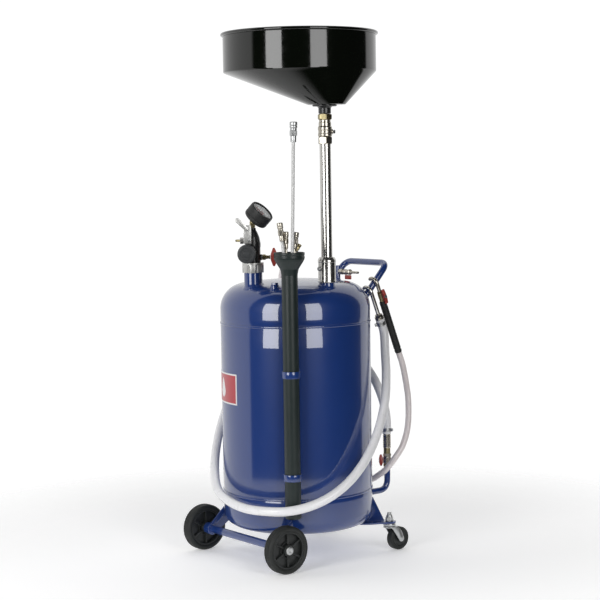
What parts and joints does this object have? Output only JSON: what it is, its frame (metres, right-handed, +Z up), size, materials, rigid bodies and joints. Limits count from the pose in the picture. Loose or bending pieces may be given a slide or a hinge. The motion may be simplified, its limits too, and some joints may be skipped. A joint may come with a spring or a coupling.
{
  "type": "mobile oil drainer",
  "caption": "Wheeled waste-oil drainer: pressure tank, off-centre drain bowl on a sliding mast, vacuum head with gauge, probes, hoses and hand valves.",
  "frame": {"origin": "on the floor under the middle of the whole object at rest, without its two hoses and what hangs on them", "axes": "+X to the rear, where the casters and the push handle are; -X to the fixed wheels; -Y to the left side, where the mast and the probe holder are; +Z up, along the tank and the mast"},
  "size_m": [0.5681, 0.5155, 1.406],
  "materials": {
    "tank_blue": "gloss enamel",
    "bowl_black": "high gloss enamel",
    "panel_red": "printed film",
    "black_plastic": "moulded",
    "holder_plastic": "moulded, fluted",
    "rim_plastic": "moulded",
    "red_plastic": "moulded",
    "dial_white": "printed face",
    "rubber": "moulded",
    "tyre": "solid rubber",
    "bright_steel": "polished",
    "satin_steel": "turned",
    "zinc": "zinc plated",
    "nickel": "plated",
    "brass": "turned",
    "black_metal": "semi gloss",
    "hose_white": "clear over white",
    "hose_clear": "translucent",
    "clear_lens": "clear"
  },
  "bodies": {
    "tank": {"tank_barrel": "tank_blue", "tank_top_head": "tank_blue", "tank_bottom_head": "tank_blue", "tank_bosses": "tank_blue", "filler_plug": "tank_blue", "outlet_pipe": "tank_blue", "push_handle": "tank_blue", "rear_hose_hook": "tank_blue", "holder_straps": "tank_blue", "probe_holder": "holder_plastic", "name_panel": "panel_red", "axle_carrier": "tank_blue", "axle": "satin_steel", "hub_caps": "zinc", "caster_brackets": "tank_blue", "caster_stems": "zinc", "mast_sleeve": "satin_steel", "mast_seal": "rubber", "mast_guide": "satin_steel", "union_ring": "bright_steel", "pump_body": "black_metal", "silencer": "black_plastic", "pump_air_valve": "satin_steel", "vacuum_valve": "brass", "gauge_case": "rubber", "gauge_dial": "dial_white", "gauge_lens": "clear_lens", "air_inlet": "brass", "suction_elbow": "nickel", "outlet_valve": "brass", "delivery_spout": "nickel", "suction_gun": "nickel", "gun_grip": "rubber", "delivery_hose": "hose_white", "suction_hose": "hose_clear", "long_probe": "hose_clear", "side_probe": "hose_clear", "short_probes": "nickel"},
    "front_wheel_left": {"tyre_left": "tyre", "rim_left": "rim_plastic"},
    "front_wheel_right": {"tyre_right": "tyre", "rim_right": "rim_plastic"},
    "fork_left": {"caster_fork_left": "zinc"},
    "fork_right": {"caster_fork_right": "zinc"},
    "caster_left": {"caster_wheel_left": "tyre"},
    "caster_right": {"caster_wheel_right": "tyre"},
    "mast": {"mast_tube": "bright_steel", "bowl_valve": "nickel", "swivel_nut": "brass"},
    "bowl": {"bowl_spout": "black_metal", "bowl": "bowl_black", "bowl_strainer": "satin_steel"},
    "bowl_valve_lever": {"bowl_valve_lever": "black_metal"},
    "lock_screw": {"mast_lock_screw": "zinc"},
    "pump_lever": {"pump_lever": "bright_steel"},
    "vacuum_valve_handle": {"vacuum_valve_handle": "red_plastic"},
    "gauge_pointer": {"gauge_pointer": "red_plastic"},
    "air_inlet_handle": {"air_inlet_handle": "red_plastic"},
    "outlet_valve_handle": {"outlet_valve_handle": "red_plastic"},
    "gun_lever": {"gun_lever": "red_plastic"}
  },
  "joints": [
    {"name": "front_wheel_left_roll", "type": "hinge", "parent": "tank", "child": "front_wheel_left", "pos_m": [-0.191, -0.17774, 0.0625], "axis": [0, 1, 0], "continuous": true},
    {"name": "front_wheel_right_roll", "type": "hinge", "parent": "tank", "child": "front_wheel_right", "pos_m": [-0.191, 0.19826, 0.0625], "axis": [0, 1, 0], "continuous": true},
    {"name": "caster_left_swivel", "type": "hinge", "parent": "tank", "child": "fork_left", "pos_m": [0.18, -0.15274, 0.07], "axis": [0, 0, 1], "continuous": true},
    {"name": "caster_right_swivel", "type": "hinge", "parent": "tank", "child": "fork_right", "pos_m": [0.18, 0.17326, 0.07], "axis": [0, 0, 1], "continuous": true},
    {"name": "caster_left_roll", "type": "hinge", "parent": "fork_left", "child": "caster_left", "pos_m": [0.209, -0.15274, 0.0315], "axis": [0, 1, 0], "continuous": true},
    {"name": "caster_right_roll", "type": "hinge", "parent": "fork_right", "child": "caster_right", "pos_m": [0.209, 0.17326, 0.0315], "axis": [0, 1, 0], "continuous": true},
    {"name": "mast_slide", "type": "slide", "parent": "tank", "child": "mast", "axis": [0, 0, 1], "range_m": [-0.25, 0]},
    {"name": "bowl_swivel", "type": "hinge", "parent": "mast", "child": "bowl", "pos_m": [-0.012, -0.13774, 1.208], "axis": [0, 0, -1], "continuous": true},
    {"name": "bowl_valve_turn", "type": "hinge", "parent": "mast", "child": "bowl_valve_lever", "pos_m": [-0.012, -0.13774, 1.138], "axis": [0.809, -0.5878, 0], "range_deg": [0, 90]},
    {"name": "mast_lock_turn", "type": "hinge", "parent": "tank", "child": "lock_screw", "pos_m": [-0.032, -0.13774, 0.78], "axis": [-1, 0, 0], "range_deg": [0, 360]},
    {"name": "pump_lever_turn", "type": "hinge", "parent": "tank", "child": "pump_lever", "pos_m": [-0.1914, -0.02675, 0.888], "axis": [-0.5878, -0.809, 0], "range_deg": [0, 80]},
    {"name": "vacuum_valve_turn", "type": "hinge", "parent": "tank", "child": "vacuum_valve_handle", "pos_m": [-0.11155, -0.02913, 0.811], "axis": [0.809, -0.5878, 0], "range_deg": [0, 90]},
    {"name": "gauge_pointer_turn", "type": "hinge", "parent": "tank", "child": "gauge_pointer", "pos_m": [-0.152, 0.00026, 0.903], "axis": [0.31, -0.6355, 0.7071], "range_deg": [-270, 0]},
    {"name": "air_inlet_turn", "type": "hinge", "parent": "tank", "child": "air_inlet_handle", "pos_m": [0.143, -0.03374, 0.745], "axis": [0, 0, 1], "range_deg": [0, 90]},
    {"name": "outlet_valve_turn", "type": "hinge", "parent": "tank", "child": "outlet_valve_handle", "pos_m": [0.235, -0.08074, 0.234], "axis": [-0.809, 0.5878, 0], "range_deg": [0, 90]},
    {"name": "gun_lever_turn", "type": "hinge", "parent": "tank", "child": "gun_lever", "pos_m": [0.2069, -0.09674, 0.69213], "axis": [0, -1, 0], "range_deg": [0, 90]}
  ]
}
